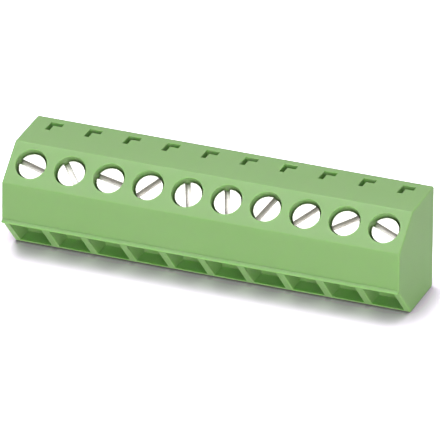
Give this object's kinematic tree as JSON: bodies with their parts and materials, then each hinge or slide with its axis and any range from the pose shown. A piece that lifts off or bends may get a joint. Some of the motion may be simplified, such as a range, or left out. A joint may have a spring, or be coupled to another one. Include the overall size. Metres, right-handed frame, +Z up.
{
  "type": "screw terminal block",
  "caption": "Row of screw terminals in one moulded housing for a circuit board, with slotted screws on a sloped face, rising clamp cages and wire mouths low at the front.",
  "frame": {"origin": "on the board surface, in the middle of the row of solder pins", "axes": "+X along the row of poles, -Y out of the wire side, +Z up from the board"},
  "size_m": [0.0516, 0.0123, 0.0171],
  "materials": {
    "moulded_polyamide": "moulded, fine satin",
    "plated_screw_steel": "zinc plated, bright",
    "plated_sleeve_steel": "zinc plated, stamped",
    "tinned_copper_alloy": "tin plated"
  },
  "bodies": {
    "block": {"housing": "moulded_polyamide", "contact_01": "tinned_copper_alloy", "contact_02": "tinned_copper_alloy", "contact_03": "tinned_copper_alloy", "contact_04": "tinned_copper_alloy", "contact_05": "tinned_copper_alloy", "contact_06": "tinned_copper_alloy", "contact_07": "tinned_copper_alloy", "contact_08": "tinned_copper_alloy", "contact_09": "tinned_copper_alloy", "contact_10": "tinned_copper_alloy"},
    "screw_01": {"clamp_screw_01": "plated_screw_steel"},
    "cage_01": {"clamp_cage_01": "plated_sleeve_steel"},
    "screw_02": {"clamp_screw_02": "plated_screw_steel"},
    "cage_02": {"clamp_cage_02": "plated_sleeve_steel"},
    "screw_03": {"clamp_screw_03": "plated_screw_steel"},
    "cage_03": {"clamp_cage_03": "plated_sleeve_steel"},
    "screw_04": {"clamp_screw_04": "plated_screw_steel"},
    "cage_04": {"clamp_cage_04": "plated_sleeve_steel"},
    "screw_05": {"clamp_screw_05": "plated_screw_steel"},
    "cage_05": {"clamp_cage_05": "plated_sleeve_steel"},
    "screw_06": {"clamp_screw_06": "plated_screw_steel"},
    "cage_06": {"clamp_cage_06": "plated_sleeve_steel"},
    "screw_07": {"clamp_screw_07": "plated_screw_steel"},
    "cage_07": {"clamp_cage_07": "plated_sleeve_steel"},
    "screw_08": {"clamp_screw_08": "plated_screw_steel"},
    "cage_08": {"clamp_cage_08": "plated_sleeve_steel"},
    "screw_09": {"clamp_screw_09": "plated_screw_steel"},
    "cage_09": {"clamp_cage_09": "plated_sleeve_steel"},
    "screw_10": {"clamp_screw_10": "plated_screw_steel"},
    "cage_10": {"clamp_cage_10": "plated_sleeve_steel"}
  },
  "joints": [
    {"name": "screw_turn_01", "type": "hinge", "parent": "block", "child": "screw_01", "pos_m": [-0.02286, -0.00818, 0.01184], "axis": [0, 0.6293, -0.7771], "range_deg": [0, 1620]},
    {"name": "cage_lift_01", "type": "slide", "parent": "block", "child": "cage_01", "axis": [0, -0.6293, 0.7771], "range_m": [0, 0.00202]},
    {"name": "screw_turn_02", "type": "hinge", "parent": "block", "child": "screw_02", "pos_m": [-0.01778, -0.00818, 0.01184], "axis": [0, 0.6293, -0.7771], "range_deg": [0, 1620]},
    {"name": "cage_lift_02", "type": "slide", "parent": "block", "child": "cage_02", "axis": [0, -0.6293, 0.7771], "range_m": [0, 0.00202]},
    {"name": "screw_turn_03", "type": "hinge", "parent": "block", "child": "screw_03", "pos_m": [-0.0127, -0.00818, 0.01184], "axis": [0, 0.6293, -0.7771], "range_deg": [0, 1620]},
    {"name": "cage_lift_03", "type": "slide", "parent": "block", "child": "cage_03", "axis": [0, -0.6293, 0.7771], "range_m": [0, 0.00202]},
    {"name": "screw_turn_04", "type": "hinge", "parent": "block", "child": "screw_04", "pos_m": [-0.00762, -0.00818, 0.01184], "axis": [0, 0.6293, -0.7771], "range_deg": [0, 1620]},
    {"name": "cage_lift_04", "type": "slide", "parent": "block", "child": "cage_04", "axis": [0, -0.6293, 0.7771], "range_m": [0, 0.00202]},
    {"name": "screw_turn_05", "type": "hinge", "parent": "block", "child": "screw_05", "pos_m": [-0.00254, -0.00818, 0.01184], "axis": [0, 0.6293, -0.7771], "range_deg": [0, 1620]},
    {"name": "cage_lift_05", "type": "slide", "parent": "block", "child": "cage_05", "axis": [0, -0.6293, 0.7771], "range_m": [0, 0.00202]},
    {"name": "screw_turn_06", "type": "hinge", "parent": "block", "child": "screw_06", "pos_m": [0.00254, -0.00818, 0.01184], "axis": [0, 0.6293, -0.7771], "range_deg": [0, 1620]},
    {"name": "cage_lift_06", "type": "slide", "parent": "block", "child": "cage_06", "axis": [0, -0.6293, 0.7771], "range_m": [0, 0.00202]},
    {"name": "screw_turn_07", "type": "hinge", "parent": "block", "child": "screw_07", "pos_m": [0.00762, -0.00818, 0.01184], "axis": [0, 0.6293, -0.7771], "range_deg": [0, 1620]},
    {"name": "cage_lift_07", "type": "slide", "parent": "block", "child": "cage_07", "axis": [0, -0.6293, 0.7771], "range_m": [0, 0.00202]},
    {"name": "screw_turn_08", "type": "hinge", "parent": "block", "child": "screw_08", "pos_m": [0.0127, -0.00818, 0.01184], "axis": [0, 0.6293, -0.7771], "range_deg": [0, 1620]},
    {"name": "cage_lift_08", "type": "slide", "parent": "block", "child": "cage_08", "axis": [0, -0.6293, 0.7771], "range_m": [0, 0.00202]},
    {"name": "screw_turn_09", "type": "hinge", "parent": "block", "child": "screw_09", "pos_m": [0.01778, -0.00818, 0.01184], "axis": [0, 0.6293, -0.7771], "range_deg": [0, 1620]},
    {"name": "cage_lift_09", "type": "slide", "parent": "block", "child": "cage_09", "axis": [0, -0.6293, 0.7771], "range_m": [0, 0.00202]},
    {"name": "screw_turn_10", "type": "hinge", "parent": "block", "child": "screw_10", "pos_m": [0.02286, -0.00818, 0.01184], "axis": [0, 0.6293, -0.7771], "range_deg": [0, 1620]},
    {"name": "cage_lift_10", "type": "slide", "parent": "block", "child": "cage_10", "axis": [0, -0.6293, 0.7771], "range_m": [0, 0.00202]}
  ],
  "couplings": [
    {"joint": "screw_turn_01", "follows": "cage_lift_01", "rad_per_m": 13963},
    {"joint": "screw_turn_02", "follows": "cage_lift_02", "rad_per_m": 13963},
    {"joint": "screw_turn_03", "follows": "cage_lift_03", "rad_per_m": 13963},
    {"joint": "screw_turn_04", "follows": "cage_lift_04", "rad_per_m": 13963},
    {"joint": "screw_turn_05", "follows": "cage_lift_05", "rad_per_m": 13963},
    {"joint": "screw_turn_06", "follows": "cage_lift_06", "rad_per_m": 13963},
    {"joint": "screw_turn_07", "follows": "cage_lift_07", "rad_per_m": 13963},
    {"joint": "screw_turn_08", "follows": "cage_lift_08", "rad_per_m": 13963},
    {"joint": "screw_turn_09", "follows": "cage_lift_09", "rad_per_m": 13963},
    {"joint": "screw_turn_10", "follows": "cage_lift_10", "rad_per_m": 13963}
  ]
}
